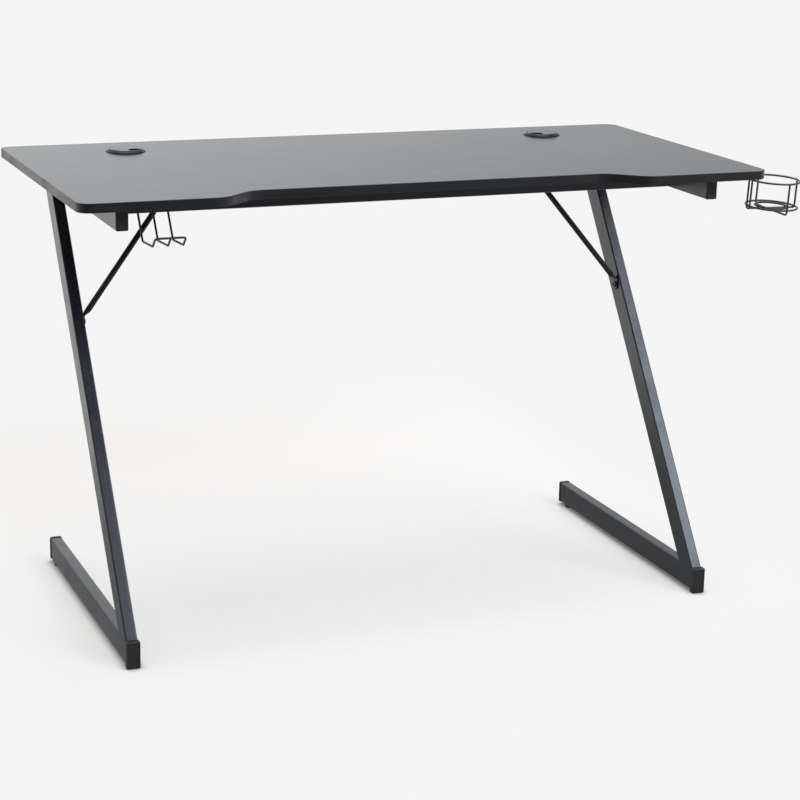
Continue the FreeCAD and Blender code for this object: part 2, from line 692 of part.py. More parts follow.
def brace_taper(flat_middle, flat_normal, bar_end, bar_axis):
    """Run from a flattened end to the round bar."""
    lift = bar_axis.cross(Y_AXIS).normalize()
    if lift.dot(flat_normal) < 0:
        lift = -lift
    along = lift.cross(bar_axis).normalize()
    if along.y < 0:
        along = -along
    flat = slot_wire(flat_middle, Y_AXIS, flat_normal, BRACE_TAB_WIDTH, BRACE_TAB_THICKNESS)
    return Part.makeLoft([flat, round_wire(bar_end, along, lift, BRACE_RADIUS)], True, True)


def brace(side):
    """Round bar from the leg's inner face up to the rear crossbar's underside."""
    inward = X_AXIS * -side
    leg_seat, _ = brace_leg_bolt(side)
    low = Vector(side * RAIL_INNER_X, leg_seat.y, BRACE_LOW_Z)
    high = Vector(side * (RAIL_INNER_X - BRACE_REACH), REAR_CROSSBAR_Y, RAIL_BOTTOM)
    low_middle = low + inward * (BRACE_TAB_THICKNESS / 2)
    high_middle = high + DOWN * (BRACE_TAB_THICKNESS / 2)
    lean = (high_middle - low_middle).normalize()
    bar_low = low_middle + lean * BRACE_TAPER + inward * (BRACE_RADIUS / 2)
    bar_high = high_middle - lean * BRACE_TAPER + DOWN * (BRACE_RADIUS / 2)
    axis = (bar_high - bar_low).normalize()
    low_end = [brace_taper(low_middle, X_AXIS, bar_low, axis), flat_tab(low, DOWN, inward)]
    high_end = [brace_taper(high_middle, Z_AXIS, bar_high, axis), flat_tab(high, inward, DOWN)]
    return cylinder(BRACE_RADIUS, bar_low, bar_high).fuse(low_end + high_end).removeSplitter()


def brace_bolt_places():
    """Bolt seats of both braces, each with the direction of its shank."""
    return [place(side) for side in SIDES.values() for place in (brace_leg_bolt, brace_bar_bolt)]


def brace_bolts():
    """Bolts through the braces' flattened ends."""
    length = BRACE_TAB_THICKNESS + RIVET_NUT_LENGTH - BOLT_END_GAP
    return group([bolt(seat, axis, length) for seat, axis in brace_bolt_places()])


def brace_rivet_nuts():
    """Rivet nuts in the legs and the rear crossbar."""
    return group([threaded_sleeve(RIVET_NUT_RADIUS, seat + axis * BRACE_TAB_THICKNESS, axis, RIVET_NUT_LENGTH)
                  for seat, axis in brace_bolt_places()])


# Grommets

def grommet_bore():
    """Inner radius of a grommet's barrel."""
    return GROMMET_HOLE_RADIUS - GROMMET_HOLE_GAP - GROMMET_BARREL_WALL


def grommet_ring(side):
    """Barrel in the board with a bevelled flange, and a ledge for the turning cap."""
    seat = grommet_place(side)
    bevel_foot = seat + UP * GROMMET_FLANGE_EDGE
    top = seat + UP * GROMMET_FLANGE_HEIGHT
    bevel = Part.makeCone(GROMMET_FLANGE_RADIUS, grommet_bore() + GROMMET_FLANGE_LAND,
                          GROMMET_FLANGE_HEIGHT - GROMMET_FLANGE_EDGE, bevel_foot, UP)
    rim = [e for e in bevel.Edges if e.BoundBox.ZMin > (bevel_foot.z + top.z) / 2]
    bevel = bevel.makeFillet(GROMMET_FLANGE_ROUND, rim)
    flange = cylinder(GROMMET_FLANGE_RADIUS, seat, bevel_foot).fuse(bevel)
    barrel = cylinder(GROMMET_HOLE_RADIUS - GROMMET_HOLE_GAP, seat + DOWN * GROMMET_BARREL_LENGTH, seat)
    bore = cylinder(grommet_bore(), seat + DOWN * GROMMET_BARREL_LENGTH, top)
    ledge_top = top + DOWN * (GROMMET_CAP_HEIGHT + GROMMET_CAP_GAP)
    ledge_bottom = ledge_top + DOWN * GROMMET_LEDGE_HEIGHT
    ledge = cylinder(grommet_bore(), ledge_bottom, ledge_top)
    ledge = ledge.cut(cylinder(grommet_bore() - GROMMET_LEDGE, ledge_bottom, ledge_top))
    return flange.fuse(barrel).cut(bore).fuse(ledge).removeSplitter()


def grommet_cap(side, slot_angle):
    """Round cap with a cable slot in its rim; it turns in the ring."""
    top = grommet_place(side) + UP * GROMMET_FLANGE_HEIGHT
    low = top + DOWN * GROMMET_CAP_HEIGHT
    radius = grommet_bore() - GROMMET_CAP_GAP
    cap = cylinder(radius, low, top)
    half = GROMMET_SLOT_WIDTH / 2
    slot_end = radius - GROMMET_SLOT_DEPTH
    bend_middle = X_AXIS * (slot_end + half)
    slot = box(bend_middle - Y_AXIS * half, Vector(2 * radius, half, GROMMET_CAP_HEIGHT))
    slot = slot.fuse(cylinder(half, bend_middle, bend_middle + UP * GROMMET_CAP_HEIGHT))
    slot.Placement = FreeCAD.Placement(low, FreeCAD.Rotation(UP, slot_angle))
    cap = cap.cut(slot)
    rim = [e for e in cap.Edges if e.BoundBox.ZMin > low.z + GROMMET_CAP_HEIGHT / 2]
    return cap.makeFillet(GROMMET_CAP_ROUND, rim)


# Headset hook

def hook_profile(x):
    """Bend points of one hook wire, from its mount to its tip."""
    lean_y = HOOK_MOUNT_Y - HOOK_MOUNT_LENGTH
    knee = Vector(x, lean_y - HOOK_LEAN, HOOK_WIRE_Z - HOOK_DROP)
    shelf = knee + Vector(0, -HOOK_SHELF_LENGTH, HOOK_SHELF_RISE)
    tip = shelf + Vector(0, -HOOK_TIP_LENGTH, HOOK_TIP_RISE)
    return [Vector(x, HOOK_MOUNT_Y, HOOK_WIRE_Z), Vector(x, lean_y, HOOK_WIRE_Z), knee, shelf, tip]


def hook_outer_wire():
    """One wire bent into both outer hooks and the bar that joins their tips."""
    left = hook_profile(HOOK_X - HOOK_SPACING)
    right = hook_profile(HOOK_X + HOOK_SPACING)
    return bent_wire(left + right[::-1], HOOK_WIRE_RADIUS, HOOK_BEND)


def hook_middle_wire():
    """Single hook welded behind the tip bar."""
    points = hook_profile(HOOK_X)
    tip_run = (points[-1] - points[-2]).normalize()
    points[-1] = points[-1] - tip_run * (2 * HOOK_WIRE_RADIUS + WELD_GAP)
    return bent_wire(points, HOOK_WIRE_RADIUS, HOOK_BEND)


def strap(middle, along, length, holes):
    """Flat steel strap with screw holes; middle is on its lower face."""
    plate = rounded_bar(STRAP_WIDTH, length, STRAP_ROUND, middle, UP, STRAP_THICKNESS, UP.cross(along))
    for hole in holes:
        plate = plate.cut(cylinder(SCREW_RADIUS + BOLT_HOLE_GAP, hole, hole + UP * STRAP_THICKNESS))
    return plate


def hook_strap():
    """Strap across the hook's three wires."""
    z = HOOK_WIRE_Z - HOOK_WIRE_RADIUS - STRAP_THICKNESS
    middle = Vector(HOOK_X, HOOK_MOUNT_Y - STRAP_WIDTH / 2, z)
    return strap(middle, X_AXIS, 2 * (HOOK_SPACING + STRAP_OVERHANG), hook_screw_places())


def strap_screws(places):
    """Screws that hold a strap to the board."""
    return group([wood_screw(place) for place in places])


# Cup holder

def cup_turned(shape):
    """Shape turned about the upright line through the middle of the rings."""
    return shape.rotated(Vector(CUP_X, CUP_Y, 0), UP, CUP_TURN_ANGLE)


def cup_sag_pivot():
    """Point between the hanger's upper bends that the basket sags about."""
    return Vector(cup_hanger_x(), CUP_Y, CUP_ARM_Z)


def cup_sagged(shape):
    """Piece of the basket, sagged to the right and to the front, and turned with the hanger."""
    sagged = shape.rotated(cup_sag_pivot(), Y_AXIS, CUP_SAG_ANGLE)
    return cup_turned(sagged.rotated(cup_sag_pivot(), X_AXIS, CUP_LEAN_ANGLE))


def cup_ring(radius, z):
    """One of the cup holder's rings."""
    return cup_sagged(ring(Vector(CUP_X, CUP_Y, z), radius, CUP_WIRE_RADIUS))


def cup_cross_wire():
    """Wire that runs up the front and back of the rings and crosses below them."""
    front, back = CUP_Y - CUP_UPRIGHT_RADIUS, CUP_Y + CUP_UPRIGHT_RADIUS
    points = [Vector(CUP_X, front, CUP_UPPER_Z), Vector(CUP_X, front, CUP_CROSS_WIRE_Z),
              Vector(CUP_X, back, CUP_CROSS_WIRE_Z), Vector(CUP_X, back, CUP_UPPER_Z)]
    return cup_sagged(bent_wire(points, CUP_WIRE_RADIUS, CUP_BEND))


def cup_hanger_x():
    """Middle of the hanger's legs, which stand against the outside of the rings."""
    return CUP_X - math.sqrt(CUP_UPRIGHT_RADIUS ** 2 - (CUP_HANGER_WIDTH / 2) ** 2) - WELD_GAP


def cup_side_wire():
    """Wire that runs up the right of the rings and under them to the hanger's loop."""
    right = CUP_X + CUP_UPRIGHT_RADIUS
    left = cup_hanger_x() + CUP_WIRE_RADIUS + WELD_GAP
    bend_round_ring = 2 * CUP_WIRE_RADIUS + WELD_GAP
    points = [Vector(right, CUP_Y, CUP_UPPER_Z), Vector(right, CUP_Y, CUP_SIDE_WIRE_Z),
              Vector(left, CUP_Y, CUP_SIDE_WIRE_Z)]
    return cup_sagged(bent_wire(points, CUP_WIRE_RADIUS, bend_round_ring))


def cup_hanger():
    """Looped wire down the left of the rings, with two level arms under the board."""
    arm_end = TOP_WIDTH / 2 - CUP_ARM_LENGTH
    arm = X_AXIS * (cup_hanger_x() - arm_end)
    sag = FreeCAD.Rotation(X_AXIS, CUP_LEAN_ANGLE).multiply(FreeCAD.Rotation(Y_AXIS, CUP_SAG_ANGLE))
    front, back = [], []
    for points, side in ((front, -1), (back, 1)):
        across = Y_AXIS * (side * CUP_HANGER_WIDTH / 2)
        bend = cup_sag_pivot() + across
        loop = cup_sag_pivot() + sag.multVec(across + UP * (CUP_SIDE_WIRE_Z - CUP_ARM_Z))
        points += [bend - arm, bend, loop]
    return cup_turned(bent_wire(front + back[::-1], CUP_WIRE_RADIUS, CUP_HANGER_WIDTH * CUP_LOOP_SHARE))


def cup_strap():
    """Strap under the hanger's two arms."""
    reach = CUP_HANGER_WIDTH / 2 + CUP_WIRE_RADIUS + 2 * SCREW_HEAD_RADIUS
    return cup_turned(strap(cup_strap_middle(), Y_AXIS, 2 * reach + STRAP_OVERHANG, cup_screw_seats()))


def plan_middle():
    """Middle of the plan on the floor, from the top's left end to the cup holder's right upright."""
    reach = cup_side_wire().optimalBoundingBox(False, False).XMax
    return Vector((reach - TOP_WIDTH / 2) / 2, 0, 0)


ORIGIN = plan_middle()


def save(name, shape):
    """Moves a piece to the row's origin and writes it."""
    shape.translate(-ORIGIN)
    shape.exportStep("parts/%s.step" % name)
    print(name, len(shape.Solids), "solids", round(shape.Volume / 1000, 2), "cm3", "valid", shape.isValid())


def main():
    os.makedirs("parts", exist_ok=True)
    save("tabletop", tabletop())
    save("edge_band", edge_band())
    for name, side in SIDES.items():
        middle = Vector(side * RAIL_X, 0, RAIL_MIDDLE)
        low_middle = Vector(side * RAIL_X, 0, FOOT_MIDDLE)
        save("rail_" + name, rail(side))
        save("leg_" + name, leg(side))
        save("foot_" + name, foot(side))
        save("rail_front_cap_" + name, plug_cap(middle + Y_AXIS * RAIL_FRONT, -Y_AXIS))
        save("rail_rear_cap_" + name, plug_cap(middle + Y_AXIS * RAIL_REAR, Y_AXIS))
        save("foot_front_cap_" + name, sleeve_cap(side))
        rear_end = low_middle + Y_AXIS * FOOT_REAR
        save("foot_rear_cap_" + name, plug_cap(rear_end, Y_AXIS, FOOT_REAR_FACE, FOOT_REAR_LIP))
        save("glide_" + name, glide(side))
        save("glide_nut_" + name, glide_nut(side))
        save("brace_" + name, brace(side))
        save("grommet_ring_" + name, grommet_ring(side))
    save("grommet_cap_left", grommet_cap(SIDES["left"], LEFT_SLOT_ANGLE))
    save("grommet_cap_right", grommet_cap(SIDES["right"], RIGHT_SLOT_ANGLE))
    save("crossbar_front", crossbar(FRONT_CROSSBAR_Y))
    save("crossbar_rear", crossbar(REAR_CROSSBAR_Y))
    save("crossbar_front_plates", end_plates(FRONT_CROSSBAR_Y))
    save("crossbar_rear_plates", end_plates(REAR_CROSSBAR_Y))
    save("crossbar_bolts", crossbar_bolts())
    save("crossbar_rivet_nuts", crossbar_rivet_nuts())
    save("rail_bolts", rail_bolts())
    save("board_inserts", board_inserts())
    save("brace_bolts", brace_bolts())
    save("brace_rivet_nuts", brace_rivet_nuts())
    save("hook_outer_wire", hook_outer_wire())
    save("hook_middle_wire", hook_middle_wire())
    save("hook_strap", hook_strap())
    save("hook_screws", strap_screws(hook_screw_places()))
    save("cup_upper_ring", cup_ring(CUP_RING_RADIUS, CUP_UPPER_Z))
    save("cup_lower_ring", cup_ring(CUP_RING_RADIUS, CUP_LOWER_Z))
    save("cup_base_ring", cup_ring(CUP_BASE_RING_RADIUS, CUP_LOWER_Z))
    save("cup_cross_wire", cup_cross_wire())
    save("cup_side_wire", cup_side_wire())
    save("cup_hanger", cup_hanger())
    save("cup_strap", cup_strap())
    save("cup_screws", strap_screws(cup_screw_places()))


main()
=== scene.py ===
# %% [markdown]
# A black gaming desk, dressed for the camera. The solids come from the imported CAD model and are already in
# their places, in metres, so this lesson only adds what CAD leaves out: finishes, welds, a floor, light and
# a camera. Nothing that CAD made is moved or reshaped.

# %% Load the desk
import json
import math

import bpy
from mathutils import Matrix, Vector


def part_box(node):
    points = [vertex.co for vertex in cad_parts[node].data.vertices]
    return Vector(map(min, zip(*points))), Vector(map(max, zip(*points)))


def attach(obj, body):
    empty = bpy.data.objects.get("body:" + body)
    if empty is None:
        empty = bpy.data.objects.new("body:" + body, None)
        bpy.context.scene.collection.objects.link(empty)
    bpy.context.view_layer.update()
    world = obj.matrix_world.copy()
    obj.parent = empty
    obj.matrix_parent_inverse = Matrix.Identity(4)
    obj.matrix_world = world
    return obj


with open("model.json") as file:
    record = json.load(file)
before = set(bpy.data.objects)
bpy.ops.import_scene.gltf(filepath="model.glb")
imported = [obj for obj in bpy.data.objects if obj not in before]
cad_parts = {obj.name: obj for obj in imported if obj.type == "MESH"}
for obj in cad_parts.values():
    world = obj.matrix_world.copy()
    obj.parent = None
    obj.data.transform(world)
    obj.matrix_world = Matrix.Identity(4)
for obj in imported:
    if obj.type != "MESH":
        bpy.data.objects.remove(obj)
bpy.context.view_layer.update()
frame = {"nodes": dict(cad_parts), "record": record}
bpy.ops.object.select_all(action="DESELECT")

# %% [markdown]
# The camera could be placed by eye, but a desk has long straight edges, so a wrong viewpoint shows at once.
# Its place, turn and lens were worked out from the edges and corners of the desk, which gives the viewing
# angle directly: from the front left, a little above the top, with a long lens.

# %% Camera
EYE_LEFT = 1.3323
EYE_FRONT = 3.34735
EYE_HEIGHT = 1.33549
EYE_YAW = math.radians(22.91)
EYE_PITCH = math.radians(14.88)
EYE_ROLL = math.radians(1.31)
EYE_LENS = 94.66
EYE_SENSOR = 36.0
EYE_SHIFT_X = -0.0246
EYE_SHIFT_Y = -0.0297
EYE_REACH = 200.0

top_low, top_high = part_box("tabletop")
top_middle = (top_low + top_high) / 2
eye_turn = (
    Matrix.Rotation(-EYE_YAW, 4, "Z")
    @ Matrix.Rotation(math.radians(90) - EYE_PITCH, 4, "X")
    @ Matrix.Rotation(EYE_ROLL, 4, "Z")
)
bpy.ops.object.camera_add(location=(top_middle.x - EYE_LEFT, -EYE_FRONT, EYE_HEIGHT))
camera = bpy.context.object
camera.name = "camera"
camera.rotation_euler = eye_turn.to_euler()
camera.data.lens = EYE_LENS
camera.data.sensor_width = EYE_SENSOR
camera.data.shift_x = EYE_SHIFT_X
camera.data.shift_y = EYE_SHIFT_Y
camera.data.clip_end = EYE_REACH
bpy.context.scene.camera = camera
print("camera at", [round(c, 3) for c in camera.location])

# %% [markdown]
# Shader nodes are wired by hand in the editor. In a script a few short helpers do the same: one adds a node
# and sets its sockets, and a few more wrap the nodes that come back most often.

# %% Helpers for single nodes
def add_node(tree, kind, inputs=None, **settings):
    """Adds a node, sets its properties, and sets or links each named or numbered input."""
    node = tree.nodes.new(kind)
    for name, value in settings.items():
        setattr(node, name, value)
    for socket, value in (inputs or {}).items():
        if isinstance(value, bpy.types.NodeSocket):
            tree.links.new(value, node.inputs[socket])
        else:
            node.inputs[socket].default_value = value
    return node


def calculate(tree, operation, *values):
    """Works out a sum from sockets and numbers and gives the output socket."""
    return add_node(tree, "ShaderNodeMath", dict(enumerate(values)), operation=operation).outputs[0]


def mix_values(tree, factor, first, second):
    """Mixes two numbers and gives the output socket."""
    return add_node(tree, "ShaderNodeMix", {0: factor, 2: first, 3: second}).outputs[0]


def mix_colours(tree, factor, first, second):
    """Mixes two colours and gives the output socket."""
    return add_node(tree, "ShaderNodeMix", {0: factor, 6: first, 7: second}, data_type="RGBA").outputs[2]


def spread(tree, value, low, high, start=0.0, end=1.0):
    """Maps a value from start..end to low..high, smoothly, and gives the output socket."""
    sockets = {"Value": value, "From Min": start, "From Max": end, "To Min": low, "To Max": high}
    return add_node(tree, "ShaderNodeMapRange", sockets, interpolation_type="SMOOTHSTEP").outputs[0]


# %% [markdown]
# A finish starts as a new material with its Principled shader, and an effect that several finishes share is a
# node group with named sockets. These helpers start both, place a group in a finish and wire a bump.

# %% Helpers for groups and materials
def start_group(name, inputs, outputs):
    """Starts a shader node group with named float sockets and a Vector input."""
    tree = bpy.data.node_groups.new(name, "ShaderNodeTree")
    tree.interface.new_socket("Vector", in_out="INPUT", socket_type="NodeSocketVector")
    for socket in inputs:
        tree.interface.new_socket(socket, in_out="INPUT", socket_type="NodeSocketFloat")
    for socket in outputs:
        tree.interface.new_socket(socket, in_out="OUTPUT", socket_type="NodeSocketFloat")
    return tree, tree.nodes.new("NodeGroupInput"), tree.nodes.new("NodeGroupOutput")


def use_group(tree, group, inputs):
    """Places a node group in a tree and gives its outputs."""
    return add_node(tree, "ShaderNodeGroup", inputs, node_tree=group).outputs


def start_material(name):
    """Starts a material and gives it with its tree, its Principled shader and the object coordinates."""
    material = bpy.data.materials.new(name)
    material.use_nodes = True
    tree = material.node_tree
    shader = tree.nodes["Principled BSDF"]
    coordinates = tree.nodes.new("ShaderNodeTexCoord").outputs["Object"]
    return material, tree, shader, coordinates


def add_bump(tree, shader, height, strength, distance):
    """Turns a height into a bumped normal."""
    bump = add_node(tree, "ShaderNodeBump", {"Strength": strength, "Distance": distance, "Height": height})
    tree.links.new(bump.outputs["Normal"], shader.inputs["Normal"])


# %% [markdown]
# Three effects come back in nearly every finish of this desk, so each is a node group that is built once.
# Fine grain is the skin of moulded plastic and of sprayed powder: small soft bumps over smaller ones.
# Handling is the faint patchiness that hands, boxes and cleaning leave in a gloss.
# Settled dust is a thin pale film that only lies on faces that look up.

# %% Node group: fine grain
grain_group, grain_in, grain_out = start_group(
    "fine grain", ["Cells per Metre", "Roundness"], ["Height", "Fleck"])
cell_noise = add_node(grain_group, "ShaderNodeTexNoise", {
    "Vector": grain_in.outputs["Vector"], "Scale": grain_in.outputs["Cells per Metre"], "Detail": 2.0})
cell_shape = add_node(grain_group, "ShaderNodeTexVoronoi", {
    "Vector": grain_in.outputs["Vector"], "Scale": grain_in.outputs["Cells per Metre"], "Smoothness": 0.6},
    feature="SMOOTH_F1")
cell_dome = calculate(grain_group, "SUBTRACT", 1.0, cell_shape.outputs["Distance"])
cell_height = mix_values(grain_group, grain_in.outputs["Roundness"], cell_noise.outputs[0], cell_dome)
cell_fleck = spread(grain_group, cell_noise.outputs[0], 0.0, 1.0, start=0.42, end=0.66)
grain_group.links.new(cell_height, grain_out.inputs["Height"])
grain_group.links.new(cell_fleck, grain_out.inputs["Fleck"])
print("group:", grain_group.name)

# %% Node group: handling
handling_group, handling_in, handling_out = start_group("handling", ["Patches per Metre"], ["Smudge"])
broad_patch = add_node(handling_group, "ShaderNodeTexNoise", {
    "Vector": handling_in.outputs["Vector"], "Scale": handling_in.outputs["Patches per Metre"],
    "Detail": 5.0, "Roughness": 0.55, "Distortion": 0.4})
smudge = spread(handling_group, broad_patch.outputs[0], 0.0, 1.0, start=0.32, end=0.68)
handling_group.links.new(smudge, handling_out.inputs["Smudge"])
print("group:", handling_group.name)

# %% Node group: settled dust
dust_group, dust_in, dust_out = start_group("settled dust", ["Flecks per Metre"], ["Dust"])
face_normal = dust_group.nodes.new("ShaderNodeNewGeometry").outputs["Normal"]
face_up = add_node(dust_group, "ShaderNodeSeparateXYZ", {0: face_normal}).outputs["Z"]
looks_up = spread(dust_group, face_up, 0.0, 1.0, start=0.35, end=0.95)
dust_noise = add_node(dust_group, "ShaderNodeTexNoise", {
    "Vector": dust_in.outputs["Vector"], "Scale": dust_in.outputs["Flecks per Metre"],
    "Detail": 6.0, "Roughness": 0.7})
dust_patch = spread(dust_group, dust_noise.outputs[0], 0.15, 1.0, start=0.35, end=0.75)
dust_here = calculate(dust_group, "MULTIPLY", looks_up, dust_patch)
dust_group.links.new(dust_here, dust_out.inputs["Dust"])
print("group:", dust_group.name)

# %% [markdown]
# The top is chipboard under a black satin laminate. A low view over it shows mostly reflected room, so its
# grey comes from the gloss and not from its colour. This skin mirrors less than a polished one, so its index
# of refraction is low. The press plate leaves a fine pebble, and faint streaks run along the top's length.
# One noise stretched along X gives the streaks, and they go into the roughness most of all, because that is
# where a low view shows them.

# %% Finish: black laminate
LAMINATE_IOR = 1.26
LAMINATE_DUST = (0.30, 0.30, 0.31, 1.0)
STREAK_STRETCH = (1.0, 26.0, 26.0)
STREAK_RELIEF = 0.10
HANDS_IN_GLOSS = 0.35

laminate, tree, shader, place = start_material("black laminate")
stretched = add_node(tree, "ShaderNodeMapping", {"Vector": place, "Scale": STREAK_STRETCH})
streak_noise = add_node(tree, "ShaderNodeTexNoise", {
    "Vector": stretched.outputs[0], "Scale": 3.2, "Detail": 6.0, "Roughness": 0.62})
streak = spread(tree, streak_noise.outputs[0], 0.0, 1.0, start=0.3, end=0.7)
pebble = use_group(tree, grain_group, {"Vector": place, "Cells per Metre": 900.0, "Roundness": 0.55})
hands = use_group(tree, handling_group, {"Vector": place, "Patches per Metre": 4.5})
dust = use_group(tree, dust_group, {"Vector": place, "Flecks per Metre": 320.0})
dyed = mix_colours(tree, streak, (0.0130, 0.0134, 0.0152, 1.0), (0.0150, 0.0154, 0.0174, 1.0))
flecked = mix_colours(tree, pebble["Fleck"], dyed, (0.0185, 0.0190, 0.0210, 1.0))
dust_film = spread(tree, dust["Dust"], 0.0, 0.03)
tree.links.new(mix_colours(tree, dust_film, flecked, LAMINATE_DUST), shader.inputs["Base Color"])
gloss_patch = mix_values(tree, HANDS_IN_GLOSS, streak, hands["Smudge"])
tree.links.new(spread(tree, gloss_patch, 0.16, 0.19), shader.inputs["Roughness"])
shader.inputs["IOR"].default_value = LAMINATE_IOR
relief = calculate(tree, "MULTIPLY_ADD", streak, STREAK_RELIEF, pebble["Height"])
add_bump(tree, shader, relief, strength=0.010, distance=0.0003)
print("finish:", laminate.name)

# %% [markdown]
# The strip round the edge is extruded plastic, so its die leaves hair lines along it, and its two ends meet
# in a butt joint at the middle of the back. The lines depend on height alone, which a strongly stretched
# noise gives all the way round the top, and the joint is a dark line where X is near the middle.

# %% Finish: edge strip
DIE_STRETCH = (1.5, 1.5, 900.0)
DIE_RELIEF = 0.7
JOINT_COLOUR = (0.002, 0.002, 0.002, 1.0)

edge_strip, tree, shader, place = start_material("edge strip")
along = add_node(tree, "ShaderNodeMapping", {"Vector": place, "Scale": DIE_STRETCH})
die_noise = add_node(tree, "ShaderNodeTexNoise", {"Vector": along.outputs[0], "Scale": 2.0, "Detail": 4.0})
die_lines = die_noise.outputs[0]
hands = use_group(tree, handling_group, {"Vector": place, "Patches per Metre": 9.0})
skin = use_group(tree, grain_group, {"Vector": place, "Cells per Metre": 1500.0, "Roundness": 0.4})
axes = add_node(tree, "ShaderNodeSeparateXYZ", {0: place})
from_middle = calculate(tree, "SUBTRACT", axes.outputs["X"], top_middle.x)
off_middle = calculate(tree, "ABSOLUTE", from_middle)
near_middle = spread(tree, off_middle, 1.0, 0.0, start=0.00015, end=0.0005)
at_back = calculate(tree, "GREATER_THAN", axes.outputs["Y"], 0.0)
joint_line = calculate(tree, "MULTIPLY", near_middle, at_back)
dyed = mix_colours(tree, die_lines, (0.0070, 0.0075, 0.0095, 1.0), (0.0110, 0.0117, 0.0145, 1.0))
tree.links.new(mix_colours(tree, joint_line, dyed, JOINT_COLOUR), shader.inputs["Base Color"])
tree.links.new(spread(tree, hands["Smudge"], 0.34, 0.43), shader.inputs["Roughness"])
strip_skin = calculate(tree, "MULTIPLY_ADD", die_lines, DIE_RELIEF, skin["Height"])
strip_relief = calculate(tree, "SUBTRACT", strip_skin, joint_line)
add_bump(tree, shader, strip_relief, strength=0.12, distance=0.0003)
print("finish:", edge_strip.name)

# %% [markdown]
# The tube frame is sprayed with black powder and baked. Baked powder never lies quite flat: it has a soft
# orange peel a millimetre or two across. It is satin, with a slight blue in the black, and a trace of dust
# lies on the feet. Wire takes the same powder more thinly, so its peel is finer; its colour is painted a
# little lighter than the tube's, a painted sheen for the light that thin round wires catch. The round bars
# of the braces come from another bath and are a duller, deeper black.

# %% Finish: powder coat
POWDER_DUST = (0.30, 0.30, 0.30, 1.0)
FINE_CELLS_SHARE = 4.3
FINE_RELIEF = 0.25
GLOSS_SPREAD = 0.04


def powder_coat(name, dark, light, peel_cells, roughness, dust_share):
    """A baked powder coat with an orange peel of the given size."""
    material, tree, shader, place = start_material(name)
    fine_cells = peel_cells * FINE_CELLS_SHARE
    peel = use_group(tree, grain_group, {"Vector": place, "Cells per Metre": peel_cells, "Roundness": 0.35})
    fine = use_group(tree, grain_group, {"Vector": place, "Cells per Metre": fine_cells, "Roundness": 0.2})
    hands = use_group(tree, handling_group, {"Vector": place, "Patches per Metre": 11.0})
    dust = use_group(tree, dust_group, {"Vector": place, "Flecks per Metre": 260.0})
    sprayed = mix_colours(tree, fine["Fleck"], dark, light)
    dust_film = spread(tree, dust["Dust"], 0.0, dust_share)
    tree.links.new(mix_colours(tree, dust_film, sprayed, POWDER_DUST), shader.inputs["Base Color"])
    gloss = spread(tree, hands["Smudge"], roughness - GLOSS_SPREAD, roughness + GLOSS_SPREAD)
    tree.links.new(gloss, shader.inputs["Roughness"])
    relief = calculate(tree, "MULTIPLY_ADD", fine["Height"], FINE_RELIEF, peel["Height"])
    add_bump(tree, shader, relief, strength=0.16, distance=0.0004)
    print("finish:", name)
    return material


# %% Powder on tube, bar and wire
tube_powder = powder_coat(
    "powder coat on tube", (0.0125, 0.0140, 0.0180, 1.0), (0.0230, 0.0255, 0.0315, 1.0),
    peel_cells=620.0, roughness=0.28, dust_share=0.03)
bar_powder = powder_coat(
    "powder coat on bar", (0.0060, 0.0063, 0.0072, 1.0), (0.0105, 0.0110, 0.0125, 1.0),
    peel_cells=900.0, roughness=0.44, dust_share=0.01)
# Painted sheen: the wire's powder is coloured lighter than the tube's for the light its thin wires catch.
wire_powder_painted_lighter = powder_coat(
    "powder coat on wire", (0.0250, 0.0257, 0.0280, 1.0), (0.0440, 0.0450, 0.0485, 1.0),
    peel_cells=1400.0, roughness=0.36, dust_share=0.02)

# %% [markdown]
# End caps, glides and grommets are moulded in black plastic. A spark-eroded mould leaves an even matt grain
# of about half a millimetre. The grommets come from a smoother mould: their gloss is sharper than that of the
# caps, but weaker, so they take a lower index of refraction.

# %% Finish: moulded plastic
PLASTIC_DUST = (0.28, 0.28, 0.28, 1.0)
PLASTIC_IOR = 1.5
GROMMET_IOR = 1.28


def moulded_plastic(name, dark, light, grain_cells, low_rough, high_rough, bump, ior=PLASTIC_IOR):
    """Black moulded plastic with a spark-eroded grain."""
    material, tree, shader, place = start_material(name)
    grain = use_group(tree, grain_group, {"Vector": place, "Cells per Metre": grain_cells, "Roundness": 0.7})
    hands = use_group(tree, handling_group, {"Vector": place, "Patches per Metre": 30.0})
    dust = use_group(tree, dust_group, {"Vector": place, "Flecks per Metre": 400.0})
    grained = mix_colours(tree, grain["Fleck"], dark, light)
    dust_film = spread(tree, dust["Dust"], 0.0, 0.02)
    tree.links.new(mix_colours(tree, dust_film, grained, PLASTIC_DUST), shader.inputs["Base Color"])
    tree.links.new(spread(tree, hands["Smudge"], low_rough, high_rough), shader.inputs["Roughness"])
    shader.inputs["IOR"].default_value = ior
    add_bump(tree, shader, grain["Height"], strength=bump, distance=0.0003)
    print("finish:", name)
    return material


# %% Plastic of caps, glides and grommets
cap_plastic = moulded_plastic(
    "cap plastic", (0.0160, 0.0162, 0.0172, 1.0), (0.0240, 0.0243, 0.0256, 1.0),
    grain_cells=2100.0, low_rough=0.48, high_rough=0.58, bump=0.20)
glide_plastic = moulded_plastic(
    "glide plastic", (0.0150, 0.0150, 0.0150, 1.0), (0.0220, 0.0220, 0.0220, 1.0),
    grain_cells=1700.0, low_rough=0.55, high_rough=0.66, bump=0.25)
grommet_plastic = moulded_plastic(
    "grommet plastic", (0.0080, 0.0080, 0.0090, 1.0), (0.0125, 0.0125, 0.0135, 1.0),
    grain_cells=2400.0, low_rough=0.15, high_rough=0.22, bump=0.04, ior=GROMMET_IOR)

# %% [markdown]
# Bolt heads are blacked in hot oil, which leaves a mottled dark steel. Nuts are zinc plated, a grey metal
# with fine streaks, and the inserts in the board are plain brass. All three are metals with a patchy gloss.

# %% Finish: metals of the fixings
TURNED_STRETCH = (1.0, 1.0, 8.0)


